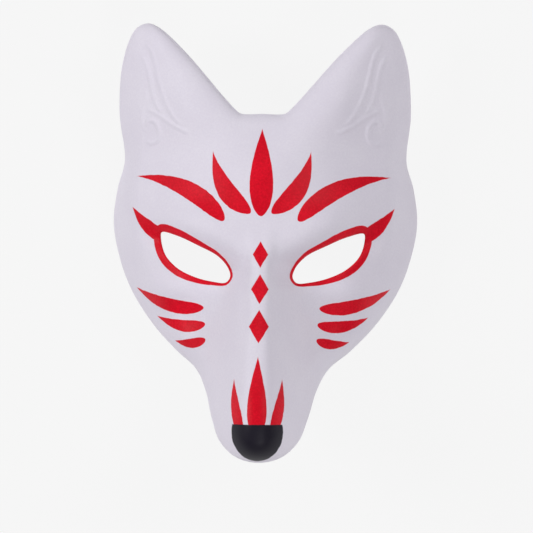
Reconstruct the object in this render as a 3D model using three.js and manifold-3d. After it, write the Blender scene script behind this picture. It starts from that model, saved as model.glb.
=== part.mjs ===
// A wolf mask moulded in one sheet of foam, lying face up on its back rim.
// Millimetres: +X to the right of the face, +Y towards the ears, +Z out of the face.
// The rim stands on z = 0, and the origin is under the middle of the mask's box.
import * as THREE from "three";
import { mergeVertices } from "three/addons/utils/BufferGeometryUtils.js";
import Module from "manifold-3d";

// Driving sizes
const WALL = 3.5; // thickness of the foam sheet
const LIP = 7; // least height of the sheet over its own edge, further in
const HALF_WIDTH = 86.5; // at the temples
const FOREHEAD_HEIGHT = 64; // top of the vault over the floor
const NOSE_HEIGHT = 98; // top of the muzzle over the floor, without the ridge on it

// Landmarks of half the outline, from under the nose round to the notch between the ears.
// rim is the height of the sheet's edge there, roll how far in from the edge the sheet curves over.
const OUTLINE = [
  { name: "nose bottom", x: 0, y: -121.2, rim: 68, roll: 11 },
  { name: "nose corner", x: 12.3, y: -118.3, rim: 67, roll: 11 },
  { name: "nose side", x: 21.3, y: -110.1, rim: 62.5, roll: 10.5 },
  { name: "muzzle side", x: 26.2, y: -98.2, rim: 54.5, roll: 10 },
  { name: "muzzle waist", x: 30.8, y: -82.3, rim: 40, roll: 10 },
  { name: "muzzle root", x: 37.2, y: -70.2, rim: 27, roll: 11 },
  { name: "jaw", x: 49.6, y: -59.6, rim: 14.5, roll: 13 },
  { name: "cheek", x: 65, y: -42.9, rim: 4.5, roll: 16 },
  { name: "cheek bone", x: 78.4, y: -20.8, rim: -0.3, roll: 17 },
  { name: "temple", x: HALF_WIDTH, y: 10, rim: -0.6, roll: 17 },
  { name: "temple top", x: 84.6, y: 32, rim: -0.3, roll: 15 },
  { name: "ear foot", x: 80.3, y: 47.5, rim: 5, roll: 12 },
  { name: "ear outside", x: 82.3, y: 74, rim: 21, roll: 14 },
  { name: "ear side", x: 79.4, y: 102.6, rim: 32, roll: 14 },
  { name: "ear shoulder", x: 72.6, y: 118.6, rim: 36.5, roll: 8 },
  { name: "ear tip", x: 66.5, y: 121.9, rim: 38, roll: 8 },
  { name: "ear crown", x: 59.2, y: 119.4, rim: 43, roll: 12 },
  { name: "ear inside", x: 43.4, y: 104.8, rim: 48, roll: 17 },
  { name: "ear root", x: 21.7, y: 79.7, rim: 52.5, roll: 17 },
  { name: "notch side", x: 15.4, y: 72.9, rim: 53, roll: 16 },
  { name: "notch corner", x: 12.2, y: 70.5, rim: 53, roll: 16 },
  { name: "notch", x: 0, y: 70.3, rim: 53, roll: 16 },
];
const STEPS_A_SPAN = 7; // outline points between two landmarks

// Landmarks of the eye on the +X side, from its inner corner round under it
const EYE = [
  [17.2, -19.5],
  [19.5, -22.8],
  [26.9, -22.4],
  [36.9, -19.9],
  [46.8, -15],
  [54, -7.5],
  [56.8, 1.5],
  [56.4, 5.2],
  [47.5, 3.1],
  [35.6, -2.3],
  [24.1, -8.4],
  [18.7, -14.5],
];
const EYE_STEPS = 44;
const EYE_CUT_FROM = 10; // the prisms that cut the eyes start at this height

// The vault of the forehead and cheeks falls away to both sides, upwards and downwards
const VAULT = { crownY: 24, sideDrop: 46, fallBelow: 0.004, fallAbove: 0.0053 };

// The muzzle rises from the brow to the nose, and sinks under the vault above the brow
const MUZZLE = {
  browHeight: 58,
  rise: 0.535,
  riseFromY: -12,
  riseKnee: 26,
  sink: 0.65,
  sinkFromY: 6,
  sinkKnee: 14,
  capKnee: 6,
  wallDepth: 46,
  half: 26.6,
  squareness: 2.3,
};
const BLEND = 10.5; // how widely the muzzle and the vault run together
const LIP_BLEND = 4;

// An ear's crest runs from root to tip along its inner edge, and the rest of the ear falls away
const EAR = {
  root: new THREE.Vector2(14, 72),
  tip: new THREE.Vector2(66.5, 122),
  crestAtRoot: 66,
  crestAtTip: 40,
  crestHalf: 16,
  fall: 0.62,
  fallKnee: 5.5,
};
const MIDDLE_SOFT = 9; // rounds the fold that the two ears would make on the middle line
const EAR_BLEND = { lowY: 33, highY: 79, lean: 0.2, half: 47 };

// Smaller forms: the ridge of the nose, the hollow beside it, the brow, the lid and the cheek bone
const BRIDGE = {
  height: 2.8,
  halfAtBrow: 7.2,
  halfAtNose: 12.8,
  widensY: -40,
  wideY: -100,
  topY: 12,
  fullFromY: -14,
  fullToY: -98,
  endY: -116,
};
const SOCKET = { depth: 4.7, x: 20, y: -17, halfX: 12.5, halfY: 7 };
const BROW = {
  height: 5.4,
  x: 10,
  y: -1.5,
  runX: 50,
  runY: 19.5,
  half: 11,
  fadeInFrom: -0.25,
  fadeInTo: 0.4,
  fadeOutFrom: 0.5,
  fadeOutTo: 1.1,
};
const BROW_SOFT = 3; // rounds the fold that the two brows would make on the middle line
// The lid is a hollow along the same run as the brow, between that and the eye
const LID = {
  depth: 4,
  belowBrow: 14,
  half: 6,
  fadeInFrom: -0.2,
  fadeInTo: 0.15,
  fadeOutFrom: 0.8,
  fadeOutTo: 1.15,
};
const CHEEK = { height: 4.2, x: 51, y: -27, halfX: 14.5, halfY: 8.5 };

// The patch of the half face: across from the middle line to the outline, and up from the nose
const ACROSS = 18;
const UP = 44;
const CROWDING_ACROSS = 0.11;
const CROWDING_UP = 0.1;
const NOSE_CORNER = "nose side"; // where the patch's lower side meets its outer side
const EAR_CORNER = "ear tip"; // where the outer side meets the upper side

const clamp01 = (t) => Math.min(1, Math.max(0, t));
const smooth = (a, b, t) => {
  const s = clamp01((t - a) / (b - a));
  return s * s * (3 - 2 * s);
};
const lerp = (a, b, t) => a + (b - a) * t;
// The larger of a and b, rounded over where they meet
const blendMax = (a, b, width) => (a + b + Math.hypot(a - b, width)) / 2;
// 0 below the knee and a slope of 1 above it
const softRamp = (t, width) => (t + Math.hypot(t, width)) / 2;
const bump = (x, y, at) => Math.exp(-(((x - at.x) / at.halfX) ** 2) - ((y - at.y) / at.halfY) ** 2);

// The whole outline as a closed run of points, counterclockwise from under the nose.
// The edge is flat on the floor where its curve would run below it, along the temples.
function outlinePoints() {
  const mirrored = OUTLINE.slice(1, -1)
    .reverse()
    .map((p) => ({ ...p, x: -p.x }));
  const knots = [...OUTLINE, ...mirrored];
  const curve = new THREE.CatmullRomCurve3(
    knots.map((p) => new THREE.Vector3(p.x, p.y, p.rim)),
    true,
    "centripetal",
  );
  const points = [];
  for (let i = 0; i < knots.length; i++) {
    const next = knots[(i + 1) % knots.length];
    for (let j = 0; j < STEPS_A_SPAN; j++) {
      const share = j / STEPS_A_SPAN;
      const p = curve.getPoint((i + share) / knots.length);
      const roll = lerp(knots[i].roll, next.roll, share);
      points.push({ x: p.x, y: p.y, rim: Math.max(0, p.z), roll });
    }
  }
  return points;
}
const OUTER = outlinePoints();
const OUTER_YS = OUTER.map((p) => p.y);
const MIDDLE_Y = (Math.min(...OUTER_YS) + Math.max(...OUTER_YS)) / 2;

// How far a point is inside the outline, and the rim height and roll of the edge round it.
// Each bit of edge weighs as 1 / r^3, so the result has no creases: weight is the integral of
// that along a stretch, and lean is the integral of the run along it times the same.
function edgeAt(x, y) {
  const soft = 1e-6; // keeps a point on the edge itself from dividing by nothing
  let total = 0;
  let rim = 0;
  let roll = 0;
  for (let i = 0; i < OUTER.length; i++) {
    const p = OUTER[i];
    const q = OUTER[(i + 1) % OUTER.length];
    const length = Math.hypot(q.x - p.x, q.y - p.y);
    const tx = (q.x - p.x) / length;
    const ty = (q.y - p.y) / length;
    const start = (p.x - x) * tx + (p.y - y) * ty;
    const end = start + length;
    const off = (p.x - x) * ty - (p.y - y) * tx;
    const h2 = off * off + soft;
    const nearEnd = 1 / Math.sqrt(h2 + start * start);
    const farEnd = 1 / Math.sqrt(h2 + end * end);
    const weight = (end * farEnd - start * nearEnd) / h2;
    const lean = (nearEnd - farEnd - start * weight) / length;
    total += weight;
    rim += weight * p.rim + lean * (q.rim - p.rim);
    roll += weight * p.roll + lean * (q.roll - p.roll);
  }
  return { inside: Math.sqrt(2 / total), rim: rim / total, roll: roll / total };
}

// The forms of the face, each as a height over the floor

function vault(x, y) {
  const fall = y > VAULT.crownY ? VAULT.fallAbove : VAULT.fallBelow;
  return FOREHEAD_HEIGHT - VAULT.sideDrop * (x / HALF_WIDTH) ** 2 - fall * (y - VAULT.crownY) ** 2;
}

function muzzle(x, y) {
  const rise = MUZZLE.rise * softRamp(MUZZLE.riseFromY - y, MUZZLE.riseKnee);
  const sink = MUZZLE.sink * softRamp(y - MUZZLE.sinkFromY, MUZZLE.sinkKnee);
  const below = softRamp(NOSE_HEIGHT - MUZZLE.browHeight - rise + sink, MUZZLE.capKnee);
  const wall = MUZZLE.wallDepth * (1 - Math.exp(-((Math.abs(x) / MUZZLE.half) ** MUZZLE.squareness)));
  return NOSE_HEIGHT - below - wall;
}

function ear(x, y) {
  const run = EAR.tip.clone().sub(EAR.root);
  const length = run.length();
  run.normalize();
  const dx = Math.hypot(x, MIDDLE_SOFT) - EAR.root.x;
  const dy = y - EAR.root.y;
  const along = dx * run.x + dy * run.y;
  const across = dx * run.y - dy * run.x;
  const crest = lerp(EAR.crestAtRoot, EAR.crestAtTip, along / length);
  return crest - EAR.fall * softRamp(across - EAR.crestHalf, EAR.fallKnee);
}

function bridge(x, y) {
  const half = lerp(BRIDGE.halfAtBrow, BRIDGE.halfAtNose, smooth(BRIDGE.widensY, BRIDGE.wideY, y));
  const fullness = smooth(BRIDGE.topY, BRIDGE.fullFromY, y) * smooth(BRIDGE.endY, BRIDGE.fullToY, y);
  return BRIDGE.height * Math.exp(-((x / half) ** 4)) * fullness;
}

// Where a point is by the brow's run: its share of the run, and how far it is below the run
function byBrow(x, y) {
  const dx = Math.hypot(x, BROW_SOFT) - BROW.x;
  const dy = y - BROW.y;
  const length = Math.hypot(BROW.runX, BROW.runY);
  return {
    share: (dx * BROW.runX + dy * BROW.runY) / length ** 2,
    below: (dx * BROW.runY - dy * BROW.runX) / length,
    length,
  };
}

const fade = (share, form) =>
  smooth(form.fadeInFrom, form.fadeInTo, share) * smooth(form.fadeOutTo, form.fadeOutFrom, share);

function brow(x, y) {
  const at = byBrow(x, y);
  const pastEnd = at.share - clamp01(at.share);
  const off = Math.hypot(at.below, pastEnd * at.length);
  return BROW.height * Math.exp(-((off / BROW.half) ** 2)) * fade(at.share, BROW);
}

function lid(x, y) {
  const at = byBrow(x, y);
  return LID.depth * Math.exp(-(((at.below - LID.belowBrow) / LID.half) ** 2)) * fade(at.share, LID);
}

function details(x, y) {
  const side = Math.abs(x);
  const socket = SOCKET.depth * bump(side, y, SOCKET);
  const cheek = CHEEK.height * bump(side, y, CHEEK);
  return bridge(x, y) + brow(x, y) + cheek - socket - lid(x, y);
}

// The front of the sheet over (x, y)
function frontHeight(x, y) {
  const edge = edgeAt(x, y);
  const upEar = smooth(EAR_BLEND.lowY, EAR_BLEND.highY, y + EAR_BLEND.lean * Math.hypot(x, MIDDLE_SOFT));
  const earShare = upEar * smooth(0, EAR_BLEND.half, Math.abs(x));
  const face = lerp(vault(x, y), ear(x, y), earShare);
  const shape = blendMax(face, muzzle(x, y), BLEND) + details(x, y);
  const inner = blendMax(shape, edge.rim + LIP, LIP_BLEND);
  const u = clamp01(edge.inside / edge.roll);
  return edge.rim + (inner - edge.rim) * Math.sqrt(u * (2 - u));
}

function frontNormal(x, y) {
  const h = 0.02;
  const dx = (frontHeight(x + h, y) - frontHeight(x - h, y)) / (2 * h);
  const dy = (frontHeight(x, y + h) - frontHeight(x, y - h)) / (2 * h);
  return new THREE.Vector3(-dx, -dy, 1).normalize();
}

// A side of the patch: the outline between two landmarks, read by the share of its length
function outlineSide(fromName, toName) {
  const indexOf = (name) => OUTLINE.findIndex((p) => p.name === name) * STEPS_A_SPAN;
  const first = indexOf(fromName);
  const last = indexOf(toName);
  const step = Math.sign(last - first);
  const run = [];
  for (let i = first; i !== last + step; i += step) run.push(OUTER[i]);
  const at = [0];
  for (let i = 1; i < run.length; i++)
    at.push(at[i - 1] + Math.hypot(run[i].x - run[i - 1].x, run[i].y - run[i - 1].y));
  return (share) => {
    const wanted = share * at[at.length - 1];
    let i = 1;
    while (i < run.length - 1 && at[i] < wanted) i++;
    const t = clamp01((wanted - at[i - 1]) / (at[i] - at[i - 1]));
    const [p, q] = [run[i - 1], run[i]];
    const turned = step / Math.hypot(q.x - p.x, q.y - p.y);
    return {
      x: lerp(p.x, q.x, t),
      y: lerp(p.y, q.y, t),
      rim: lerp(p.rim, q.rim, t),
      outward: new THREE.Vector3((q.y - p.y) * turned, -(q.x - p.x) * turned, 0),
    };
  };
}

// Lines of the patch lie closer together at both ends, where the sheet curves most
const crowded = (i, count, much) => i / count - much * Math.sin((2 * Math.PI * i) / count);

// Front and back points of the half face on x >= 0, row by row up from the nose
function halfPatch() {
  const low = outlineSide("nose bottom", NOSE_CORNER);
  const outer = outlineSide(NOSE_CORNER, EAR_CORNER);
  const high = outlineSide("notch", EAR_CORNER);
  const [bottom, lowCorner, top, highCorner] = [low(0), low(1), high(0), high(1)];
  const rows = [];
  for (let j = 0; j <= UP; j++) {
    const v = crowded(j, UP, CROWDING_UP);
    const row = [];
    for (let i = 0; i <= ACROSS; i++) {
      const u = crowded(i, ACROSS, CROWDING_ACROSS);
      const edge = j === 0 ? low(u) : j === UP ? high(u) : i === ACROSS ? outer(v) : null;
      let front;
      let outward;
      if (edge) {
        front = new THREE.Vector3(i === 0 ? 0 : edge.x, edge.y, edge.rim);
        outward = i === 0 ? new THREE.Vector3(0, Math.sign(j - 1), 0) : edge.outward;
      } else {
        const [a, b, c, d] = [lerp(bottom.y, top.y, v), outer(v), low(u), high(u)];
        const x =
          u * b.x + (1 - v) * c.x + v * d.x - u * ((1 - v) * lowCorner.x + v * highCorner.x);
        const y =
          (1 - u) * a + u * b.y + (1 - v) * c.y + v * d.y -
          (1 - u) * ((1 - v) * bottom.y + v * top.y) - u * ((1 - v) * lowCorner.y + v * highCorner.y);
        front = new THREE.Vector3(i === 0 ? 0 : x, y, frontHeight(x, y));
        outward = frontNormal(x, y);
        if (i === 0) outward.setX(0).normalize();
      }
      row.push({ front, back: front.clone().addScaledVector(outward, -WALL) });
    }
    rows.push(row);
  }
  return rows;
}

// The closed sheet: both faces of both halves, and the rim between them
function sheetGeometry() {
  const rows = halfPatch();
  const positions = [];
  const shift = (p, side) => [side * p.x, p.y - MIDDLE_Y, p.z];
  const triangle = (a, b, c, side) => {
    const corners = side > 0 ? [a, b, c] : [a, c, b];
    for (const p of corners) positions.push(...shift(p, side));
  };
  const quad = (a, b, c, d, side, cutAC) => {
    if (cutAC) {
      triangle(a, b, c, side);
      triangle(a, c, d, side);
    } else {
      triangle(a, b, d, side);
      triangle(b, c, d, side);
    }
  };
  for (const side of [1, -1]) {
    for (let j = 0; j < UP; j++)
      for (let i = 0; i < ACROSS; i++) {
        const [a, b, c, d] = [rows[j][i], rows[j][i + 1], rows[j + 1][i + 1], rows[j + 1][i]];
        const cutAC = j > UP / 2;
        quad(a.front, b.front, c.front, d.front, side, cutAC);
        quad(d.back, c.back, b.back, a.back, side, !cutAC);
      }
    const rim = [];
    for (let i = 0; i <= ACROSS; i++) rim.push(rows[0][i]);
    for (let j = 1; j <= UP; j++) rim.push(rows[j][ACROSS]);
    for (let i = ACROSS - 1; i >= 0; i--) rim.push(rows[UP][i]);
    for (let k = 0; k + 1 < rim.length; k++)
      quad(rim[k].front, rim[k].back, rim[k + 1].back, rim[k + 1].front, side, true);
  }
  return new THREE.BufferGeometry().setAttribute(
    "position",
    new THREE.Float32BufferAttribute(positions, 3),
  );
}

// A prism through the sheet with the outline of one eye
function eyeCutter(side) {
  const curve = new THREE.CatmullRomCurve3(
    EYE.map(([x, y]) => new THREE.Vector3(side * x, y - MIDDLE_Y, 0)),
    true,
    "centripetal",
  );
  const points = curve.getSpacedPoints(EYE_STEPS).slice(0, -1);
  const shape = new THREE.Shape(points.map((p) => new THREE.Vector2(p.x, p.y)));
  const prism = new THREE.ExtrudeGeometry(shape, { depth: NOSE_HEIGHT, bevelEnabled: false });
  return prism.translate(0, 0, EYE_CUT_FROM);
}

const wasm = await Module();
wasm.setup();

function toSolid(geometry) {
  const bare = geometry.index ? geometry.toNonIndexed() : geometry.clone();
  const placed = new THREE.BufferGeometry().setAttribute("position", bare.getAttribute("position"));
  const merged = mergeVertices(placed, 1e-4);
  return new wasm.Manifold(
    new wasm.Mesh({
      numProp: 3,
      vertProperties: merged.attributes.position.array,
      triVerts: new Uint32Array(merged.index.array),
    }),
  );
}

function toGeometry(solid) {
  const mesh = solid.getMesh();
  const geometry = new THREE.BufferGeometry();
  geometry.setAttribute("position", new THREE.BufferAttribute(mesh.vertProperties, 3));
  geometry.setIndex(new THREE.BufferAttribute(mesh.triVerts, 1));
  geometry.computeVertexNormals();
  return geometry;
}

function maskShell() {
  let solid = toSolid(sheetGeometry());
  for (const side of [1, -1]) solid = solid.subtract(toSolid(eyeCutter(side)));
  const paint = new THREE.MeshStandardMaterial({ color: 0xe2dfe9, roughness: 0.6, metalness: 0 });
  const mesh = new THREE.Mesh(toGeometry(solid), paint);
  mesh.name = "mask_shell";
  return mesh;
}

const mask = new THREE.Group();
mask.add(maskShell());

export default mask;
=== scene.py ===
import math

import bmesh
import bpy
import numpy as np
from bpy.props import FloatProperty, FloatVectorProperty, IntProperty, PointerProperty
from mathutils import Matrix, Vector
from mathutils.geometry import delaunay_2d_cdt


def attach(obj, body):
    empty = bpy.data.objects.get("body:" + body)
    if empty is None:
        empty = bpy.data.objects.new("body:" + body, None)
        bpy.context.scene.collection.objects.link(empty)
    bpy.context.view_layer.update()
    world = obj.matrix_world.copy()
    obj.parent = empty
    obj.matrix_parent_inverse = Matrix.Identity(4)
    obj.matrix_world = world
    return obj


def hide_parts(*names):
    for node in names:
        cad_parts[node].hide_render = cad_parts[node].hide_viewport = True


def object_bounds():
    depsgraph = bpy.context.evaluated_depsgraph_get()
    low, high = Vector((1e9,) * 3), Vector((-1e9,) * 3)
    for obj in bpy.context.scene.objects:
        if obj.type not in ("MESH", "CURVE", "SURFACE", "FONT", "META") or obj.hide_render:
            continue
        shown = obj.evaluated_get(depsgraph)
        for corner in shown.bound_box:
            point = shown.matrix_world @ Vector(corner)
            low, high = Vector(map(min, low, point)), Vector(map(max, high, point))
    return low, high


bl_info = {
    "name": "Wolf Mask",
    "version": (1, 0, 0),
    "blender": (4, 5, 0),
    "location": "View3D > Sidebar > Wolf Mask",
    "description": "Makes a wolf mask moulded in one sheet of foam and painted, in a pale studio",
    "category": "Add Mesh",
}

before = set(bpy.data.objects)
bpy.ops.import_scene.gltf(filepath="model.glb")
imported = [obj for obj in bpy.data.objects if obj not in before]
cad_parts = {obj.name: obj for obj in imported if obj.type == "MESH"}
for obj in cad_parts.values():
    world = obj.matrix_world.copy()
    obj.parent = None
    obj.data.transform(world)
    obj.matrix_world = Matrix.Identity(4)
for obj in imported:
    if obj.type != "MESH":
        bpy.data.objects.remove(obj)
CAD_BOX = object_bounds()

# The forms of the mask are in millimetres, as its CAD source has them. Its box's middle is at
# MIDDLE_Y there, and the frame's y is 0 in the same place.
MM = 0.001
MIDDLE_Y = 0.35
HALF_WIDTH = 86.5  # at the temples

# Landmarks of half the outline, from under the nose round to the notch between the ears:
# x, y, the height of the sheet's edge, and how far in from the edge the sheet curves over.
OUTLINE = [
    (0, -121.2, 68, 11),  # nose bottom
    (12.3, -118.3, 67, 11),  # nose corner
    (21.3, -110.1, 62.5, 10.5),  # nose side
    (26.2, -98.2, 54.5, 10),  # muzzle side
    (30.8, -82.3, 40, 10),  # muzzle waist
    (37.2, -70.2, 27, 11),  # muzzle root
    (49.6, -59.6, 14.5, 13),  # jaw
    (65, -42.9, 4.5, 16),  # cheek
    (78.4, -20.8, -0.3, 17),  # cheek bone
    (HALF_WIDTH, 10, -0.6, 17),  # temple
    (84.6, 32, -0.3, 15),  # temple top
    (80.3, 47.5, 5, 12),  # ear foot
    (82.3, 74, 21, 14),  # ear outside
    (79.4, 102.6, 32, 14),  # ear side
    (72.6, 118.6, 36.5, 8),  # ear shoulder
    (66.5, 121.9, 38, 8),  # ear tip
    (59.2, 119.4, 43, 12),  # ear crown
    (43.4, 104.8, 48, 17),  # ear inside
    (21.7, 79.7, 52.5, 17),  # ear root
    (15.4, 72.9, 53, 16),  # notch side
    (12.2, 70.5, 53, 16),  # notch corner
    (0, 70.3, 53, 16),  # notch
]

# The forms of the face, which the methods of MaskForm put together
VAULT = {"crown_y": 24, "side_drop": 46, "fall_below": 0.004, "fall_above": 0.0053}
MUZZLE = {
    "brow_height": 58,
    "rise": 0.535,
    "rise_from_y": -12,
    "rise_knee": 26,
    "sink": 0.65,
    "sink_from_y": 6,
    "sink_knee": 14,
    "cap_knee": 6,
    "wall_depth": 46,
    "half": 26.6,
    "squareness": 2.3,
}
BLEND = 10.5  # how widely the muzzle and the vault run together
LIP_BLEND = 4  # and how widely they run together with the lip along the edge
EAR = {
    "root": (14, 72),
    "run": (52.5, 50),
    "crest_at_root": 66,
    "crest_at_tip": 40,
    "crest_half": 16,
    "fall": 0.62,
    "fall_knee": 5.5,
}
EAR_BLEND = {"low_y": 33, "high_y": 79, "lean": 0.2, "half": 47}
MIDDLE_SOFT = 9  # rounds the fold that the two ears would make on the middle line
BRIDGE = {
    "height": 2.8,
    "half_at_brow": 7.2,
    "half_at_nose": 12.8,
    "squareness": 4,
    "widens": (-40, -100),
    "fades_in": (12, -14),
    "fades_out": (-116, -98),
}
BROW = {
    "height": 5.4,
    "start": (10, -1.5),
    "run": (50, 19.5),
    "half": 11,
    "fades_in": (-0.25, 0.4),
    "fades_out": (1.1, 0.5),
}
BROW_SOFT = 3  # rounds the fold that the two brows would make on the middle line
LID = {"depth": 4, "below_brow": 14, "half": 6, "fades_in": (-0.2, 0.15), "fades_out": (1.15, 0.8)}
SOCKET = {"height": -4.7, "x": 20, "y": -17, "half_x": 12.5, "half_y": 7}
CHEEK = {"height": 4.2, "x": 51, "y": -27, "half_x": 14.5, "half_y": 8.5}

# Landmarks of the eye on the +X side, from its inner corner round under it
EYE = [
    (17.2, -19.5),
    (19.5, -22.8),
    (26.9, -22.4),
    (36.9, -19.9),
    (46.8, -15),
    (54, -7.5),
    (56.8, 1.5),
    (56.4, 5.2),
    (47.5, 3.1),
    (35.6, -2.3),
    (24.1, -8.4),
    (18.7, -14.5),
]

# The raised scroll on the ear at x > 0: how strongly each ridge stands out, and points along it
SCROLL = [
    (
        0.8,
        [(68.6, 109.2), (66, 109.3), (62.9, 106), (60.5, 100), (58.7, 92)]
        + [(56.3, 83), (52.8, 74.4), (48, 66.8), (43.4, 62.7)],
    ),
    (0.8, [(68.6, 104.3), (65.6, 98.8), (63.4, 90.5), (61.3, 80.8), (58.5, 73.7), (55.4, 69.6)]),
    (0.8, [(39.6, 58.9), (45.6, 61.9), (51.3, 65.3), (57.2, 69.6), (61.6, 72.2), (66, 73.6)]),
    (
        1.1,
        [(63.3, 63.4), (65.1, 64.8), (64.6, 66.9), (62.4, 67.4), (59.9, 66)]
        + [(58.2, 62.4), (57.9, 59), (59.5, 56.1), (62.8, 55), (66.4, 56.2)],
    ),
    (0.45, [(65.9, 85), (65.9, 79.5), (68, 73.5), (68.4, 68.4), (66.8, 63.8), (64, 60.6)]),
]
SCROLL_HALF = 1.9  # half the width of a ridge
SCROLL_FADE = 0.12  # the share of a ridge over which it fades at either end

# How closely the corners of the mesh lie
OUTLINE_STEP = 1.0
EYE_STEP = 0.7
FRONT_STEP = 0.95
BACK_STEP = 1.8
SCROLL_STEP = 0.5
SCROLL_REACH = 2.8  # how far from the middle of a ridge they lie that closely
LEAST_STEPS = 4  # from one landmark to the next
CLEARANCE = 0.6  # how far they stay away from a ring of corners, in steps
RING_TURN = 7.5  # degrees that the sheet curves over from one ring along the outline to the next
RING_COUNT = 8
RING_ANGLES = [math.radians(RING_TURN * k) for k in range(1, RING_COUNT + 1)]
RING_REACH = 5  # the rings of corners along the outline end this far in, or half way through its roll
EYE_RINGS = (2.8, 1.9)  # how far from the eye the rings round it lie

# How the edges are rounded: radius, and corners on the way round
RIM_ROUND = (0.6, 4)
EYE_ROUND = (1.1, 5)
EYE_BACK_ROUND = (0.5, 3)

# The back of the sheet
BACK_ROLL = 1.2  # how much rounder its edge is where the sheet would fold behind it
BACK_ROLL_BLEND = 1
SLOPE_REACH = 0.02  # how far to each side of a point heights are taken for its slope
SOURCE_ROUNDS = 8  # rounds of closing in on the front point whose back is wanted

FAR = 99.0  # eye_gap of a corner that no liner reaches
TINY = 1e-6  # keeps a point on a stretch of edge from dividing by 0
WELD = 1e-7  # points nearer than this are one in a triangulation
NEAREST_CHUNK = 4000  # points worked on at a time, so that memory lasts
EDGE_CHUNK = 2000

# Brush strokes of one half of the face: start, end, how far the middle bows to the left of that run,
# half the width, and how the two ends narrow: 0 for square, 0.5 for round, 1 for a point
CREST_STROKES = [
    ((0, 13), (0, 62), 0, 6.6, 0.6, 1.1),
    ((6, 14.5), (27, 50), -5, 5.4, 0.6, 1.2),
]
BROW_STROKE = ((20, 11), (72, 37), 6, 5.2, 0.5, 1.1)
WING_STROKE = ((53, 1), (73.5, 20), -2, 4, 0.4, 1.0)
WHISKER_STROKES = [
    ((32, -37), (72, -24.5), -4, 3.9, 0.5, 1.0),
    ((31, -46), (59.5, -40.8), -3, 3.5, 0.5, 1.0),
    ((30.5, -54.5), (49, -54.8), -1.8, 2.9, 0.5, 1.0),
]
NOSE_STROKES = [
    ((0, -104), (0, -63), 0, 5.4, 0.4, 1.1),
    ((8.8, -104), (13, -75), -1, 3, 0.4, 1.1),
]
LOZENGES = [(-8, 4.4, 7.5), (-27, 5, 8.5), (-47.5, 5.6, 9.5)]  # y, half width, half height
NOSE_PATCH = {"y": -104, "half_x": 14, "half_y": 16, "top": -99.8}
PAINT_EDGE = 0.3  # how softly a painted edge ends
PAINT_STRAYS = 0.5  # how widely a painted edge strays about its true line
LINER_STRAYS = 0.4
LINER_WIDENS = (14, 56)  # between these places across the face
MARKINGS_END = (0.4, 0.8)  # how far in behind the edge
SPRAY_ENDS = (2.2, 4.2)  # and where the white spray does, give or take its straying
SPRAY_STRAYS = 3

# Noise in the paint and the foam: the width of its lumps in metres
SHAKE_SIZE = 0.004
CLOUD_SIZE = 0.022
SPECK_SIZE = 0.0011
SPRAY_SIZE = 0.005
GRAIN_SIZE = 0.0024

# How much each noise and each coat counts in the colour, the roughness and the bumps
LIGHTNESS = {"cloud_floor": 0.3, "cloud": 1.6, "speck": 2}
ROUGHNESS = {"white": 0.56, "cloud": 0.12, "markings": 0.08, "foam": 0.3}
GRAIN = {"foam": 3, "coarse": 0.6}
GRAIN_HEIGHT = 0.00003  # metres
MARKINGS_HEIGHT = 0.00005
PAINT_SPECULAR = 0.12


def smooth(a, b, t):
    """0 where t is a and 1 where it is b, with a smooth start and end."""
    s = np.clip((t - a) / (b - a), 0, 1)
    return s * s * (3 - 2 * s)


def mix(a, b, t):
    return a + (b - a) * t


def blend_max(a, b, width):
    """The larger of a and b, rounded over where they meet."""
    return (a + b + np.hypot(a - b, width)) / 2


def soft_ramp(t, width):
    """0 below the knee and a slope of 1 above it."""
    return (t + np.hypot(t, width)) / 2


def spline(knots, step, spans):
    """Points about a step apart on the centripetal curve through a closed run of knots.

    Also returns each point's place, counted in knots."""
    knots = np.asarray(knots, float)
    points, places = [], []
    for i in range(spans):
        p0, p1, p2, p3 = (knots[(i + k) % len(knots)] for k in (-1, 0, 1, 2))
        d0, d1, d2 = (math.sqrt(np.linalg.norm(b - a)) for a, b in ((p0, p1), (p1, p2), (p2, p3)))
        t1 = ((p1 - p0) / d0 - (p2 - p0) / (d0 + d1) + (p2 - p1) / d1) * d1
        t2 = ((p2 - p1) / d1 - (p3 - p1) / (d1 + d2) + (p3 - p2) / d2) * d1
        steps = max(LEAST_STEPS, round(np.linalg.norm(p2 - p1) / step))
        w = np.arange(steps)[:, None] / steps
        run = p2 - p1
        points.append(p1 + t1 * w + (3 * run - 2 * t1 - t2) * w**2 + (t1 + t2 - 2 * run) * w**3)
        places.append(i + w[:, 0])
    return np.vstack(points), np.concatenate(places)


def turned_right(points, closed):
    """Unit normals of a run of points in the plane, to its right hand."""
    along = np.roll(points, -1, 0) - np.roll(points, 1, 0) if closed else np.gradient(points, axis=0)
    normals = np.column_stack([along[:, 1], -along[:, 0]])
    return normals / np.linalg.norm(normals, axis=1)[:, None]


def nearest_on(points, line, closed):
    """Each point's distance from a run of line in the plane, and the number of its nearest stretch."""
    a = line if closed else line[:-1]
    run = (np.roll(line, -1, 0) if closed else line[1:]) - a
    gaps, stretches = [], []
    for start in range(0, len(points), NEAREST_CHUNK):
        part = points[start : start + NEAREST_CHUNK, None, :] - a
        share = np.clip((part * run).sum(2) / (run**2).sum(1), 0, 1)
        gap2 = ((part - share[:, :, None] * run) ** 2).sum(2)
        stretches.append(gap2.argmin(1))
        gaps.append(np.sqrt(gap2.min(1)))
    return np.concatenate(gaps), np.concatenate(stretches)


def distance_to(points, line, closed=True):
    """Each point's distance from a run of line in the plane."""
    return nearest_on(points, line, closed)[0]


def is_inside(points, loop):
    """Whether each point is inside a closed loop in the plane."""
    a, b = loop, np.roll(loop, -1, 0)
    x, y = points[:, :1], points[:, 1:]
    crosses = (a[:, 1] > y) != (b[:, 1] > y)
    with np.errstate(divide="ignore", invalid="ignore"):
        at = a[:, 0] + (y - a[:, 1]) * (b[:, 0] - a[:, 0]) / (b[:, 1] - a[:, 1])
    return (crosses & (x < at)).sum(1) % 2 == 1


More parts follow.
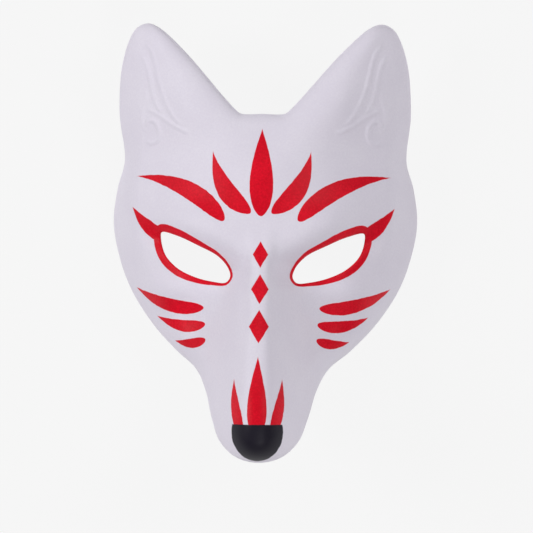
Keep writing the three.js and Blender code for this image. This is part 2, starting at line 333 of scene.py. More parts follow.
class MaskForm:
    """The shape of the sheet: its outline, and its height over any point inside that."""

    def __init__(self, sizes):
        self.wall = sizes.wall / MM
        self.lip = sizes.lip / MM
        self.forehead = sizes.forehead_height / MM
        self.nose = sizes.nose_height / MM
        knots = np.array([p[:3] for p in OUTLINE], float)
        mirrored = knots[-2:0:-1] * (-1, 1, 1)
        last = len(OUTLINE) - 1
        points, places = spline(np.vstack([knots, mirrored]), OUTLINE_STEP, last)
        points = np.vstack([points, knots[-1]])
        self.half = points[:, :2]
        self.half[[0, -1], 0] = 0
        self.rim = np.maximum(points[:, 2], 0)
        self.roll = np.interp(np.append(places, last), range(last + 1), [p[3] for p in OUTLINE])
        self.outward = turned_right(self.half, closed=False)
        self.outward[[0, -1]] = [(0, -1), (0, 1)]
        self.loop = np.vstack([self.half, self.half[-2:0:-1] * (-1, 1)])
        values = np.column_stack([self.rim, self.roll])
        self.values = np.vstack([values, values[-2:0:-1]])

    def edge_at(self, x, y):
        """How far each point is inside the outline, and the edge's height and roll round it.

        Each bit of edge weighs as 1 / r^3, so the result has no creases: weight is the integral
        of that along a stretch, and lean that of the run along it times the same."""
        p, q = self.loop, np.roll(self.loop, -1, 0)
        length = np.hypot(*(q - p).T)
        tx, ty = (q - p).T / length
        change = (np.roll(self.values, -1, 0) - self.values) / length[:, None]
        inside = np.empty(len(x))
        found = np.empty((len(x), 2))
        for start in range(0, len(x), EDGE_CHUNK):
            part = slice(start, start + EDGE_CHUNK)
            dx = p[:, 0] - x[part, None]
            dy = p[:, 1] - y[part, None]
            near = dx * tx + dy * ty
            far = near + length
            h2 = (dx * ty - dy * tx) ** 2 + TINY
            near_end = 1 / np.sqrt(h2 + near * near)
            far_end = 1 / np.sqrt(h2 + far * far)
            weight = (far * far_end - near * near_end) / h2
            lean = near_end - far_end - near * weight
            total = weight.sum(1)
            inside[part] = np.sqrt(2 / total)
            found[part] = (weight @ self.values + lean @ change) / total[:, None]
        return inside, found[:, 0], found[:, 1]

    def vault(self, x, y):
        """The forehead and cheeks fall away to both sides, upwards and downwards."""
        off_crown = y - VAULT["crown_y"]
        fall = np.where(off_crown > 0, VAULT["fall_above"], VAULT["fall_below"])
        return self.forehead - VAULT["side_drop"] * (x / HALF_WIDTH) ** 2 - fall * off_crown**2

    def muzzle(self, x, y):
        """The muzzle rises from the brow to the nose, and sinks under the vault above the brow."""
        rise = MUZZLE["rise"] * soft_ramp(MUZZLE["rise_from_y"] - y, MUZZLE["rise_knee"])
        sink = MUZZLE["sink"] * soft_ramp(y - MUZZLE["sink_from_y"], MUZZLE["sink_knee"])
        below = soft_ramp(self.nose - MUZZLE["brow_height"] - rise + sink, MUZZLE["cap_knee"])
        wall = MUZZLE["wall_depth"] * (1 - np.exp(-((np.abs(x) / MUZZLE["half"]) ** MUZZLE["squareness"])))
        return self.nose - below - wall

    def ear(self, x, y):
        """An ear's crest runs from root to tip along its inner edge, and the rest falls away."""
        (root_x, root_y), (run_x, run_y) = EAR["root"], EAR["run"]
        length = math.hypot(run_x, run_y)
        dx, dy = x - root_x, y - root_y
        share = (dx * run_x + dy * run_y) / length**2
        across = (dx * run_y - dy * run_x) / length
        crest = mix(EAR["crest_at_root"], EAR["crest_at_tip"], share)
        return crest - EAR["fall"] * soft_ramp(across - EAR["crest_half"], EAR["fall_knee"])

    def bridge(self, x, y):
        """The ridge of the nose."""
        half = mix(BRIDGE["half_at_brow"], BRIDGE["half_at_nose"], smooth(*BRIDGE["widens"], y))
        fullness = smooth(*BRIDGE["fades_in"], y) * smooth(*BRIDGE["fades_out"], y)
        return BRIDGE["height"] * np.exp(-((x / half) ** BRIDGE["squareness"])) * fullness

    def brow_and_lid(self, x, y):
        """The brow stands out along its run, and the lid is a hollow between it and the eye."""
        (start_x, start_y), (run_x, run_y) = BROW["start"], BROW["run"]
        length = math.hypot(run_x, run_y)
        dx, dy = np.hypot(x, BROW_SOFT) - start_x, y - start_y
        share = (dx * run_x + dy * run_y) / length**2
        below = (dx * run_y - dy * run_x) / length
        past_end = share - np.clip(share, 0, 1)
        off = np.hypot(below, past_end * length)
        brow = BROW["height"] * np.exp(-((off / BROW["half"]) ** 2))
        brow *= smooth(*BROW["fades_in"], share) * smooth(*BROW["fades_out"], share)
        lid = LID["depth"] * np.exp(-(((below - LID["below_brow"]) / LID["half"]) ** 2))
        lid *= smooth(*LID["fades_in"], share) * smooth(*LID["fades_out"], share)
        return brow - lid

    def bump(self, x, y, size):
        """A round form: the hollow beside the nose, or the cheek bone."""
        off_x, off_y = (x - size["x"]) / size["half_x"], (y - size["y"]) / size["half_y"]
        return size["height"] * np.exp(-(off_x**2) - off_y**2)

    def front(self, points, for_back=False):
        """The height of the front over each point, and how far the point is inside the outline.

        The back follows an edge that is rounder where the sheet would fold behind it."""
        x, y = np.asarray(points, float).T
        inside, rim, roll = self.edge_at(x, y)
        x = np.abs(x)
        off_middle = np.hypot(x, MIDDLE_SOFT)
        up_ear = smooth(EAR_BLEND["low_y"], EAR_BLEND["high_y"], y + EAR_BLEND["lean"] * off_middle)
        ear_share = up_ear * smooth(0, EAR_BLEND["half"], x)
        face = mix(self.vault(x, y), self.ear(off_middle, y), ear_share)
        details = self.bridge(x, y) + self.brow_and_lid(x, y)
        details = details + self.bump(x, y, SOCKET) + self.bump(x, y, CHEEK)
        shape = blend_max(face, self.muzzle(x, y), BLEND) + details
        inner = blend_max(shape, rim + self.lip, LIP_BLEND)
        if for_back:
            wider = np.sqrt(BACK_ROLL * self.wall * (inner - rim))
            roll = blend_max(roll, wider, BACK_ROLL_BLEND)
        u = np.clip(inside / roll, 0, 1)
        return rim + (inner - rim) * np.sqrt(u * (2 - u)), inside

    def back(self, points):
        """The places on the back of the sheet, one wall behind the front over each point."""
        h = SLOPE_REACH
        moves = np.array([(0, 0), (h, 0), (-h, 0), (0, h), (0, -h)])
        heights, inside = self.front((points[None] + moves[:, None]).reshape(-1, 2), for_back=True)
        z, right, left, up, down = heights.reshape(5, -1)
        slope = np.column_stack([(left - right) / (2 * h), (down - up) / (2 * h), np.ones(len(z))])
        slope[points[:, 0] == 0, 0] = 0
        normal = slope / np.linalg.norm(slope, axis=1)[:, None]
        return np.column_stack([points, z]) - self.wall * normal, inside[: len(points)]

    def sources_of(self, wanted):
        """The points of the front whose back lies under the wanted ones."""
        points = wanted.copy()
        for _ in range(SOURCE_ROUNDS):
            points += wanted - self.back(points)[0][:, :2]
        return points


class Scroll:
    """The raised scroll of the ears."""

    def __init__(self):
        self.lines = []
        for strength, ridge in SCROLL:
            knots = np.array(ridge, float)
            led_in = np.vstack([2 * knots[0] - knots[1], knots, 2 * knots[-1] - knots[-2]])
            points, places = spline(led_in, SCROLL_STEP, len(led_in) - 1)
            self.lines.append((strength, points[(places >= 1) & (places <= len(knots))]))

    def distance(self, points):
        return np.min([distance_to(points, line, closed=False) for _, line in self.lines], 0)

    def height(self, points):
        """A ridge's strength on its crest, and 0 away from it. A ridge fades at both its ends."""
        height = np.zeros(len(points))
        for strength, line in self.lines:
            gap, stretch = nearest_on(points, line, closed=False)
            place = stretch / (len(line) - 2)
            fade = smooth(0, SCROLL_FADE, place) * smooth(1, 1 - SCROLL_FADE, place)
            ridge = np.clip(1 - (gap / SCROLL_HALF) ** 2, 0, 1) ** 2
            height = np.maximum(height, strength * fade * ridge)
        return height


class Sheet:
    """The half sheet on x >= 0 as it is put together: corners, what the paint reads of them, faces."""

    MARKS = ("relief", "eye_gap", "behind")

    def __init__(self):
        self.places, self.marks, self.faces = [], [], []
        self.count = 0

    def add(self, places, relief=0.0, eye_gap=FAR, behind=0.0):
        """Adds corners, and returns their numbers."""
        rows = len(places)
        self.places.append(places)
        self.marks.append(np.column_stack([np.broadcast_to(v, rows) for v in (relief, eye_gap, behind)]))
        self.count += rows
        return np.arange(self.count - rows, self.count)

    def join(self, rows, closed=False):
        """Adds faces between each row of corners and the next."""
        for one, other in zip(rows, rows[1:]):
            if closed:
                one, other = np.append(one, one[0]), np.append(other, other[0])
            self.faces.append(np.column_stack([one[:-1], one[1:], other[1:]]))
            self.faces.append(np.column_stack([one[:-1], other[1:], other[:-1]]))

    def mirrored_mesh(self, name):
        """The whole sheet as a mesh in metres, closed along the middle line."""
        half = np.vstack(self.places)
        marks = np.vstack(self.marks)
        faces = np.vstack(self.faces)
        off_middle = half[:, 0] != 0
        other = np.arange(len(half))
        other[off_middle] = len(half) + np.arange(off_middle.sum())
        places = np.vstack([half, half[off_middle] * (-1, 1, 1)]) - (0, MIDDLE_Y, 0)
        marks = np.vstack([marks, marks[off_middle]])
        mesh = bpy.data.meshes.new(name)
        mesh.from_pydata(places * MM, [], np.vstack([faces, other[faces][:, ::-1]]))
        for column, mark in enumerate(self.MARKS):
            attribute = mesh.attributes.new(mark, "FLOAT", "POINT")
            attribute.data.foreach_set("value", np.ascontiguousarray(marks[:, column], np.float32))
        shape = bmesh.new()
        shape.from_mesh(mesh)
        bmesh.ops.recalc_face_normals(shape, faces=shape.faces)
        shape.to_mesh(mesh)
        shape.free()
        mesh.shade_smooth()
        return mesh


def hex_grid(low, high, step):
    """Points a step apart in rows, each row half a step along from the one before."""
    rows = np.arange(low[1], high[1], step * math.sqrt(3) / 2)
    columns = np.arange(low[0], high[0], step)
    x = columns[None] + (np.arange(len(rows)) % 2)[:, None] * step / 2
    y = np.broadcast_to(rows[:, None], x.shape)
    return np.column_stack([x.ravel(), y.ravel()])


def fill_between(ring, hole, step, scroll=None):
    """New points between a ring, which starts and ends on the middle line, and the hole of the eye.

    They lie closer along the scroll. Also returns triangles, which count the ring's points, the
    hole's and the new ones, in that order."""
    middle_count = round((ring[-1, 1] - ring[0, 1]) / step)
    middle_y = np.linspace(ring[-1, 1], ring[0, 1], middle_count + 1)[1:-1]
    middle = np.column_stack([np.zeros(len(middle_y)), middle_y])
    outer = np.vstack([ring, middle])

    def grid(spacing):
        points = hex_grid(ring.min(0), ring.max(0), spacing)
        points = points[is_inside(points, outer) & ~is_inside(points, hole)]
        clear = np.minimum(distance_to(points, outer), distance_to(points, hole))
        return points[clear > CLEARANCE * spacing]

    points = grid(step)
    if scroll:
        fine = grid(SCROLL_STEP)
        points = points[scroll.distance(points) > SCROLL_REACH]
        fine = fine[scroll.distance(fine) < SCROLL_REACH - SCROLL_STEP / 2]
        points = np.vstack([points, fine])
    everything = np.vstack([ring, hole, middle, points])
    hole_first, hole_end = len(ring), len(ring) + len(hole)
    outer_loop = np.concatenate([np.arange(hole_first), hole_end + np.arange(len(middle))])
    hole_loop = np.arange(hole_first, hole_end)
    edges = np.vstack([np.column_stack([loop, np.roll(loop, -1)]) for loop in (outer_loop, hole_loop)])
    vectors = [Vector(p) for p in everything]
    _, _, faces, origins, _, _ = delaunay_2d_cdt(vectors, edges.tolist(), [], 0, WELD)
    triangles = np.array([o[0] for o in origins])[np.array(faces)]
    centres = everything[triangles].mean(1)
    triangles = triangles[is_inside(centres, outer) & ~is_inside(centres, hole)]
    return everything[hole_end:], triangles


def quarter_round(radius, steps):
    """The way in and the drop along a quarter round, from a wall over to the face beside it."""
    angles = np.linspace(0, math.pi / 2, steps)
    return [(radius * (1 - math.cos(a)), radius * (1 - math.sin(a))) for a in angles]


def half_sheet(form):
    """The half of the sheet on x >= 0, closed but for the middle line."""
    eye, _ = spline(EYE, EYE_STEP, len(EYE))
    from_eye = turned_right(eye, closed=True)
    scroll = Scroll()
    reach = np.minimum(form.roll / 2, RING_REACH)
    sheet = Sheet()

    def inset(depth):
        """The half outline moved inwards."""
        points = form.half - np.reshape(depth, (-1, 1)) * form.outward
        points[[0, -1], 0] = 0
        return points

    def ring(angle):
        """The points where the sheet has curved over by an angle."""
        return inset(reach * (1 - math.cos(angle)) / (1 - math.cos(RING_ANGLES[-1])))

    def add_rim(depth, lift):
        return sheet.add(np.column_stack([inset(depth), form.rim + lift]))

    def add_front(points, drop=0.0):
        places = np.column_stack([points, form.front(points)[0] - drop])
        return sheet.add(places, relief=scroll.height(points), eye_gap=distance_to(points, eye))

    def add_back(points):
        places, inside = form.back(points)
        return sheet.add(places, behind=np.minimum(inside, distance_to(points, eye)))

    # From the last ring of the front outwards, round the edge, and in over the back
    rows = [add_front(ring(angle)) for angle in RING_ANGLES[::-1]]
    rows += [add_rim(way, lift) for way, lift in quarter_round(*RIM_ROUND)]
    rows += [add_rim(form.wall - way, lift) for way, lift in quarter_round(*RIM_ROUND)[::-1]]
    rows += [add_back(ring(angle)) for angle in RING_ANGLES[1::2]]
    sheet.join(rows)

    # From the front round the eye, down the wall of its opening, and out over the back
    eye_rows = [add_front(eye + way * from_eye) for way in EYE_RINGS]
    eye_rows += [add_front(eye + way * from_eye, drop) for way, drop in quarter_round(*EYE_ROUND)[::-1]]
    back_radius = EYE_BACK_ROUND[0]
    sources = [form.sources_of(eye + way * from_eye) for way in (0, back_radius)]
    foot, back_edge = (form.back(points)[0] for points in sources)
    for way, lift in quarter_round(*EYE_BACK_ROUND):
        places = mix(foot, back_edge, way / back_radius) + (0, 0, lift)
        eye_rows.append(sheet.add(places, eye_gap=FAR if way else 0.0, behind=way))
    sheet.join(eye_rows, closed=True)

    # The rest of the front and of the back
    last_ring = ring(RING_ANGLES[-1])
    points, triangles = fill_between(last_ring, eye + EYE_RINGS[0] * from_eye, FRONT_STEP, scroll)
    sheet.faces.append(np.concatenate([rows[0], eye_rows[0], add_front(points)])[triangles])
    points, triangles = fill_between(last_ring, sources[1], BACK_STEP)
    sheet.faces.append(np.concatenate([rows[-1], eye_rows[-1], add_back(points)])[triangles])
    return sheet


class Wire:
    """A value on its way through a node tree. Arithmetic on it adds Math nodes."""

    def __init__(self, nodes, socket):
        self.nodes = nodes
        self.socket = socket

    def also(self, name):
        """Another output of the node that this one comes from."""
        return Wire(self.nodes, self.socket.node.outputs[name])

    def math(self, operation, *values):
        return self.nodes.add("ShaderNodeMath", {"operation": operation}, dict(enumerate(values)))

    def __add__(self, other):
        return self.math("ADD", self, other)

    __radd__ = __add__

    def __sub__(self, other):
        return self.math("SUBTRACT", self, other)

    def __rsub__(self, other):
        return self.math("SUBTRACT", other, self)

    def __mul__(self, other):
        return self.math("MULTIPLY", self, other)

    __rmul__ = __mul__

    def __truediv__(self, other):
        return self.math("DIVIDE", self, other)

    def __rtruediv__(self, other):
        return self.math("DIVIDE", other, self)

    def __pow__(self, other):
        return self.math("POWER", self, other)

    def __abs__(self):
        return self.math("ABSOLUTE", self)

    def larger(self, other):
        return self.math("MAXIMUM", self, other)

    def smaller(self, other):
        return self.math("MINIMUM", self, other)

    def clamped(self):
        return self.nodes.add("ShaderNodeClamp", {}, {"Value": self})

    def ramp(self, low, high):
        """0 at low and 1 at high, with a smooth start and end."""
        settings = {"interpolation_type": "SMOOTHSTEP"}
        inputs = {"Value": self, "From Min": low, "From Max": high}
        return self.nodes.add("ShaderNodeMapRange", settings, inputs)


class Nodes:
    """A node tree, and the one way that nodes get into it."""

    def __init__(self, tree):
        self.tree = tree
        tree.nodes.clear()

    def add(self, kind, settings, inputs, output=0):
        """Adds a node with these settings and the values or links of its inputs, and returns one output."""
        node = self.tree.nodes.new(kind)
        for name, value in settings.items():
            setattr(node, name, value)
        for name, value in inputs.items():
            if isinstance(value, Wire):
                self.tree.links.new(value.socket, node.inputs[name])
            else:
                node.inputs[name].default_value = value
        return Wire(self, node.outputs[output]) if node.outputs else None

    def noise(self, place, size, detail=2.0):
        """Noise about a mean of 0.5, with lumps of the given size in metres."""
        return self.add("ShaderNodeTexNoise", {}, {"Vector": place, "Scale": 1 / size, "Detail": detail})

    def colour(self, share, one, other):
        """A colour between two, at the given share of the way."""
        return self.add("ShaderNodeMix", {"data_type": "RGBA"}, {0: share, 6: one, 7: other}, output=2)


def stroke(x, y, start, end, bow, half, head, tail):
    """How far inside a brush stroke a point is, in millimetres: 0 or less is outside."""
    dx, dy = end[0] - start[0], end[1] - start[1]
    length = math.hypot(dx, dy)
    ux, uy = dx / length, dy / length
    t = ((x * ux + y * uy - (start[0] * ux + start[1] * uy)) / length).clamped()
    back = 1 - t
    off = y * ux - x * uy - (start[1] * ux - start[0] * uy) - t * back * (4 * bow)
    widest = head / (head + tail)
    peak = widest**head * (1 - widest) ** tail
    return t**head * back**tail * (half / peak) - abs(off)


def markings(nodes, paint, place, behind):
    """Where the red paint and the black paint of the nose lie: 1 on them and 0 elsewhere."""
    eye_gap = nodes.add("ShaderNodeAttribute", {"attribute_name": "eye_gap"}, {}, output="Fac")

    # Places on the face in millimetres, shaken a little so that painted edges are not quite true
    shake = nodes.noise(place, SHAKE_SIZE)
    axes = nodes.add("ShaderNodeSeparateXYZ", {}, {0: place})
    across = abs(axes) / MM
    x = across + (shake - 0.5) * PAINT_STRAYS
    y = axes.also("Y") / MM + (MIDDLE_Y + PAINT_STRAYS / 2) - shake * PAINT_STRAYS

    red = stroke(x, y, *BROW_STROKE)
    for drawn in [*CREST_STROKES, *WHISKER_STROKES, *NOSE_STROKES, WING_STROKE]:
        red = red.larger(stroke(x, y, *drawn))
    for middle, half_x, half_y in LOZENGES:
        slant = half_x * half_y / math.hypot(half_x, half_y)
        red = red.larger((1 - x / half_x - abs(y - middle) / half_y) * slant)
    narrow, wide = paint.liner_inside / MM, paint.liner_outside / MM
    liner = across.ramp(*LINER_WIDENS) * (wide - narrow) + narrow
    red = red.larger(liner - eye_gap + (shake - 0.5) * LINER_STRAYS)
    on_front = 1 - behind.ramp(*MARKINGS_END)
    red = (red / PAINT_EDGE).clamped() * on_front

    off_x = x / NOSE_PATCH["half_x"]
    off_y = (y - NOSE_PATCH["y"]) / NOSE_PATCH["half_y"]
    from_nose = (off_x**2 + off_y**2) ** 0.5
    in_nose = (1 - from_nose) * NOSE_PATCH["half_x"]
    black = (in_nose.smaller(NOSE_PATCH["top"] - y) / PAINT_EDGE).clamped() * on_front
    return red, black


def painted_foam(paint):
    """White paint with red strokes and a black nose over the front, and bare foam behind."""
    material = bpy.data.materials.new("painted foam")
    material.use_nodes = True
    nodes = Nodes(material.node_tree)
    place = nodes.add("ShaderNodeTexCoord", {}, {}, output="Object")
    behind = nodes.add("ShaderNodeAttribute", {"attribute_name": "behind"}, {}, output="Fac")
    red, black = markings(nodes, paint, place, behind)

    # The paint has lighter and darker patches, and its spray ends unevenly behind the edge
    cloud = nodes.noise(place, CLOUD_SIZE, detail=3)
    speck = nodes.noise(place, SPECK_SIZE)
    spray = nodes.noise(place, SPRAY_SIZE, detail=3)
    bare = (behind + (spray - 0.5) * SPRAY_STRAYS).ramp(*SPRAY_ENDS)
    lightness = (cloud - LIGHTNESS["cloud_floor"]) * LIGHTNESS["cloud"] + (speck - 0.5) * LIGHTNESS["speck"]
    white = nodes.colour(lightness, paint.white_shaded, paint.white)
    red_paint = nodes.colour(lightness, paint.red_deep, paint.red)
    foam = nodes.colour(speck, paint.foam_dark, paint.foam)
    colour = nodes.colour(red, white, red_paint)
    colour = nodes.colour(black, colour, paint.black)
    colour = nodes.colour(bare, colour, foam)

    painted = red.larger(black)
    roughness = ROUGHNESS["white"] + (cloud - 0.5) * ROUGHNESS["cloud"]
    roughness = roughness - painted * ROUGHNESS["markings"] + bare * ROUGHNESS["foam"]
    coarse = nodes.noise(place, GRAIN_SIZE) * GRAIN["coarse"]
    grain = (speck - 0.5) * (1 + bare * GRAIN["foam"]) + coarse
    height = grain * GRAIN_HEIGHT + painted * MARKINGS_HEIGHT
    normal = nodes.add("ShaderNodeBump", {}, {"Height": height, "Distance": 1.0, "Strength": 1.0})
    surface = nodes.add(
        "ShaderNodeBsdfPrincipled",
        {},
        {
            "Base Color": colour,
            "Roughness": roughness,
            "Normal": normal,
            "Specular IOR Level": PAINT_SPECULAR,
        },
    )
    nodes.add("ShaderNodeOutputMaterial", {}, {"Surface": surface})
    return material


def relief_tree():
    """Geometry Nodes that raise the scroll and give the moulded foam its slight unevenness."""
    tree = bpy.data.node_groups.new("raised scroll and uneven foam", "GeometryNodeTree")
    nodes = Nodes(tree)
    tree.interface.new_socket("Geometry", in_out="OUTPUT", socket_type="NodeSocketGeometry")
    sockets = {}
    for name, kind in {
        "Geometry": "NodeSocketGeometry",
        "Scroll Height": "NodeSocketFloat",
        "Unevenness": "NodeSocketFloat",
        "Uneven Size": "NodeSocketFloat",
        "Seed": "NodeSocketInt",
        "Paint": "NodeSocketMaterial",
    }.items():
        sockets[name] = tree.interface.new_socket(name, in_out="INPUT", socket_type=kind).identifier
    given = nodes.add("NodeGroupInput", {}, {})
    relief = nodes.add("GeometryNodeInputNamedAttribute", {"data_type": "FLOAT"}, {"Name": "relief"})
    place = nodes.add("GeometryNodeInputPosition", {}, {})
    lumps = nodes.add(
        "ShaderNodeTexNoise",
        {"noise_dimensions": "4D"},
        {"Vector": place, "W": given.also("Seed"), "Scale": 1 / given.also("Uneven Size"), "Detail": 2.0},
    )
    rise = relief * given.also("Scroll Height") + (lumps - 0.5) * given.also("Unevenness")
    normal = nodes.add("GeometryNodeInputNormal", {}, {})
    offset = nodes.add("ShaderNodeVectorMath", {"operation": "SCALE"}, {0: normal, "Scale": rise})
    moved = nodes.add("GeometryNodeSetPosition", {}, {"Geometry": given, "Offset": offset})
    real = nodes.add("GeometryNodeRealizeInstances", {}, {"Geometry": moved})
    finished = nodes.add("GeometryNodeSetMaterial", {}, {"Geometry": real, "Material": given.also("Paint")})
    nodes.add("NodeGroupOutput", {}, {"Geometry": finished})
    return tree, sockets


def fit_to_box(mesh, box):
    """Scales a mesh by a hair along each axis, so that it ends where the CAD box does."""
    places = np.empty(3 * len(mesh.vertices), np.float32)
    mesh.vertices.foreach_get("co", places)
    places = places.reshape(-1, 3)
    low, high = places.min(0), places.max(0)
    wanted_low, wanted_high = (np.array(corner, np.float32) for corner in box)
    places = wanted_low + (places - low) * (wanted_high - wanted_low) / (high - low)
    mesh.vertices.foreach_set("co", places.ravel())
    mesh.update()


class MaskSizes(bpy.types.PropertyGroup):
    """Sizes of the foam sheet"""

    wall: FloatProperty(
        name="Wall", description="Thickness of the foam sheet", default=0.0035, min=0.001, unit="LENGTH"
    )
    lip: FloatProperty(
        name="Lip",
        description="Least height of the sheet over its own edge, further in",
        default=0.007,
        min=0.0,
        unit="LENGTH",
    )
    forehead_height: FloatProperty(
        name="Forehead Height",
        description="Top of the forehead over the floor",
        default=0.064,
        min=0.03,
        unit="LENGTH",
    )
    nose_height: FloatProperty(
        name="Nose Height",
        description="Top of the muzzle over the floor, without the ridge on it",
        default=0.098,
        min=0.06,
        unit="LENGTH",
    )
    scroll_height: FloatProperty(
        name="Scroll Height",
        description="How far the scroll on the ears stands out",
        default=0.0005,
        min=0.0,
        unit="LENGTH",
    )
    unevenness: FloatProperty(
        name="Unevenness",
        description="Depth of the dents of moulded foam",
        default=0.0002,
        min=0.0,
        unit="LENGTH",
    )
    uneven_size: FloatProperty(
        name="Uneven Size", description="Width of those dents", default=0.014, min=0.001, unit="LENGTH"
    )
    seed: IntProperty(name="Seed", description="Which dents the foam has", default=7, min=0)


def paint_colour(name, description, default):
    """The property of a colour that is given as red, green and blue."""
    return FloatVectorProperty(
        name=name,
        description=description,
        default=(*default, 1.0),
        size=4,
        min=0.0,
        max=1.0,
        subtype="COLOR",
    )


class MaskPaint(bpy.types.PropertyGroup):
    """Colours of the paint and the foam"""

    white: paint_colour("White", "White paint", (0.76, 0.723, 0.807))
    white_shaded: paint_colour("White, Shaded", "White paint in its darker patches", (0.72, 0.679, 0.772))
    red: paint_colour("Red", "Red paint", (0.79, 0.004, 0.022))
    red_deep: paint_colour("Red, Deep", "Red paint in its darker patches", (0.6, 0.002, 0.014))
    black: paint_colour("Black", "Paint of the nose", (0.014, 0.012, 0.02))
    foam: paint_colour("Foam", "Bare foam behind", (0.62, 0.6, 0.6))
    foam_dark: paint_colour("Foam, Dark", "Bare foam in its pores", (0.5, 0.48, 0.49))
    liner_inside: FloatProperty(
        name="Liner Inside",
        description="Width of the red line round an eye at its inner corner",
        default=0.0016,
        min=0.0,
        unit="LENGTH",
    )
    liner_outside: FloatProperty(
        name="Liner Outside",
        description="Width of the red line round an eye at its outer corner",
        default=0.0042,
        min=0.0,
        unit="LENGTH",
    )


def lamp_power(name, description, default):
    """The property of a lamp's power in watts."""
    return FloatProperty(name=name, description=description, default=default, min=0.0, unit="POWER")


class Studio(bpy.types.PropertyGroup):
    """The floor and the light"""

    floor_size: FloatProperty(
        name="Floor Size", description="Side of the square floor", default=6.0, min=1.0, unit="LENGTH"
    )
    floor_colour: paint_colour("Floor", "What the floor reflects", (0.04, 0.04, 0.04))
    floor_glow: FloatProperty(
        name="Floor Glow",
        description="How brightly the floor shines, as a light table does",
        default=0.883,
        min=0.0,
    )
    sky_colour: paint_colour("Sky", "Light from all round", (0.03, 0.03, 0.03))
    left_power: lamp_power("Left Power", "Power of the lamp on the left", 15.0)
    right_power: lamp_power("Right Power", "Power of the lamp on the right", 8.4)
    above_power: lamp_power("Above Power", "Power of the lamp past the ears", 4.0)
    below_power: lamp_power("Below Power", "Power of the lamp past the nose", 8.6)
    lamp_size: FloatProperty(
        name="Lamp Size", description="Side of each lamp", default=0.55, min=0.1, unit="LENGTH"
    )
    lamp_distance: FloatProperty(
        name="Lamp Distance", description="From each lamp to the mask", default=1.6, min=0.5, unit="LENGTH"
    )


class WOLFMASK_OT_shell(bpy.types.Operator):
    """Makes the moulded and painted foam sheet"""

    bl_idname = "wolfmask.shell"
    bl_label = "Foam Shell"

    def execute(self, context):
        sizes = context.scene.mask_sizes
        mesh = half_sheet(MaskForm(sizes)).mirrored_mesh("foam_shell")
        shell = bpy.data.objects.new("foam_shell", mesh)
        context.scene.collection.objects.link(shell)
        tree, sockets = relief_tree()
        relief = shell.modifiers.new("relief", "NODES")
        relief.node_group = tree
        for name, value in {
            "Scroll Height": sizes.scroll_height,
            "Unevenness": sizes.unevenness,
            "Uneven Size": sizes.uneven_size,
            "Seed": sizes.seed,
            "Paint": painted_foam(context.scene.mask_paint),
        }.items():
            relief[sockets[name]] = value
        graph = context.evaluated_depsgraph_get()
        finished = bpy.data.meshes.new_from_object(
            shell.evaluated_get(graph), preserve_all_data_layers=True, depsgraph=graph
        )
        shell.modifiers.remove(relief)
        shell.data = finished
        fit_to_box(finished, CAD_BOX)
        finished.name = "foam_shell"
        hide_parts("mask_shell")
        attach(shell, "root")
        return {"FINISHED"}


# The camera looks down at a point of the lying mask from this far, turned by these degrees
LOOKED_AT = Vector((0, 0, 0.04))
CAMERA_DISTANCE = 1.5
CAMERA_TURN = {"roll": -0.57, "pitch": -2.08, "yaw": -2.03}
FOCAL_PIXELS = 2700.4
PICTURE_PIXELS = 533
CENTRE_PIXELS = (-3.99, 24.82)  # where the point looked at lies from the picture's middle, right and up
SENSOR = 36  # millimetres wide
VIEW_REACH = 20  # metres
FLOOR_GAP = 0.0002  # between the floor and the mask's edge

# Where each lamp is, in degrees: its turn about the upright from +X, and its tilt from overhead
LAMPS = {"left": (172, 52), "right": (25, 42), "above": (93, 54), "below": (-68, 44)}


def place_camera(scene):
    """The camera that sees the mask as the photograph does."""
    roll, pitch, yaw = (math.radians(CAMERA_TURN[name]) for name in ("roll", "pitch", "yaw"))
    turn = Matrix.Rotation(roll, 3, "Z") @ Matrix.Rotation(pitch, 3, "X") @ Matrix.Rotation(yaw, 3, "Y")
    aside = [-pixels * CAMERA_DISTANCE / FOCAL_PIXELS for pixels in CENTRE_PIXELS]
    lens = bpy.data.cameras.new("camera")
    lens.sensor_width = SENSOR
    lens.lens = FOCAL_PIXELS / PICTURE_PIXELS * SENSOR
    lens.clip_end = VIEW_REACH
    camera = bpy.data.objects.new("camera", lens)
    camera.matrix_world = turn.transposed().to_4x4()
    camera.location = LOOKED_AT + turn.transposed() @ Vector((*aside, CAMERA_DISTANCE))
    scene.collection.objects.link(camera)
    scene.camera = camera


def pale_floor(studio):
    """A square floor that glows evenly, just under the mask."""
    material = bpy.data.materials.new("pale floor")
    material.use_nodes = True
    nodes = Nodes(material.node_tree)
    surface = nodes.add(
        "ShaderNodeBsdfPrincipled",
        {},
        {
            "Base Color": studio.floor_colour,
            "Roughness": 1.0,
            "Specular IOR Level": 0.0,
            "Emission Color": (1.0, 1.0, 1.0, 1.0),
            "Emission Strength": studio.floor_glow,
        },
    )
    nodes.add("ShaderNodeOutputMaterial", {}, {"Surface": surface})
    half = studio.floor_size / 2
    low = CAD_BOX[0].z - FLOOR_GAP
    corners = [(-half, -half, low), (half, -half, low), (half, half, low), (-half, half, low)]
    mesh = bpy.data.meshes.new("studio_floor")
    mesh.from_pydata(corners, [], [(0, 1, 2, 3)])
    mesh.materials.append(material)
    return bpy.data.objects.new("studio_floor", mesh)


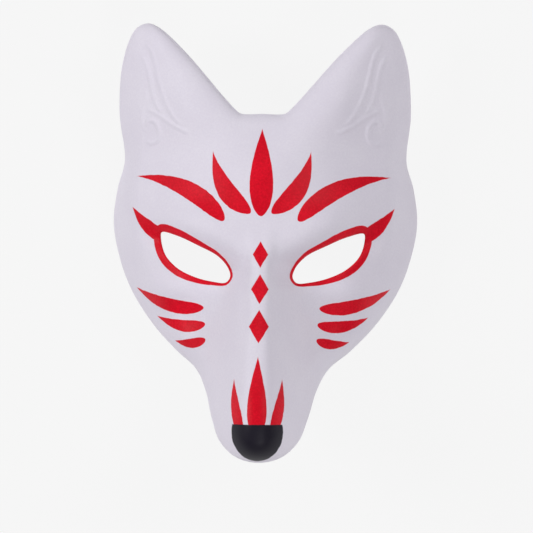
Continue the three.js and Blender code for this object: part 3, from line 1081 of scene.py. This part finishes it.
class WOLFMASK_OT_studio(bpy.types.Operator):
    """Makes the pale floor, the soft light and the camera"""

    bl_idname = "wolfmask.studio"
    bl_label = "Studio"

    def execute(self, context):
        scene, studio = context.scene, context.scene.mask_studio
        floor = pale_floor(studio)
        scene.collection.objects.link(floor)
        world = bpy.data.worlds.new("soft sky")
        world.use_nodes = True
        world.node_tree.nodes["Background"].inputs["Color"].default_value = studio.sky_colour
        scene.world = world
        for side, angles in LAMPS.items():
            turn, tilt = (math.radians(angle) for angle in angles)
            light = bpy.data.lights.new(f"soft lamp {side}", "AREA")
            light.energy = getattr(studio, f"{side}_power")
            light.size = studio.lamp_size
            lamp = bpy.data.objects.new(f"soft lamp {side}", light)
            turned = Matrix.Rotation(turn, 3, "Z") @ Matrix.Rotation(tilt, 3, "Y")
            lamp.matrix_world = turned.to_4x4()
            lamp.location = LOOKED_AT + turned @ Vector((0, 0, studio.lamp_distance))
            scene.collection.objects.link(lamp)
        scene.view_settings.view_transform = "Standard"
        place_camera(scene)
        return {"FINISHED"}


class WOLFMASK_PT_panel(bpy.types.Panel):
    """Sizes, colours and the steps that make the mask"""

    bl_idname = "WOLFMASK_PT_panel"
    bl_label = "Wolf Mask"
    bl_space_type = "VIEW_3D"
    bl_region_type = "UI"
    bl_category = "Wolf Mask"

    def draw(self, context):
        for group in (context.scene.mask_sizes, context.scene.mask_paint, context.scene.mask_studio):
            box = self.layout.box()
            for name in type(group).__annotations__:
                box.prop(group, name)
        self.layout.operator("wolfmask.shell")
        self.layout.operator("wolfmask.studio")


CLASSES = (MaskSizes, MaskPaint, Studio, WOLFMASK_OT_shell, WOLFMASK_OT_studio, WOLFMASK_PT_panel)


def register():
    for made in CLASSES:
        bpy.utils.register_class(made)
    bpy.types.Scene.mask_sizes = PointerProperty(type=MaskSizes)
    bpy.types.Scene.mask_paint = PointerProperty(type=MaskPaint)
    bpy.types.Scene.mask_studio = PointerProperty(type=Studio)


def unregister():
    del bpy.types.Scene.mask_studio
    del bpy.types.Scene.mask_paint
    del bpy.types.Scene.mask_sizes
    for made in reversed(CLASSES):
        bpy.utils.unregister_class(made)


def main():
    register()
    bpy.ops.wolfmask.shell()
    bpy.ops.wolfmask.studio()


if __name__ == "__main__":
    main()
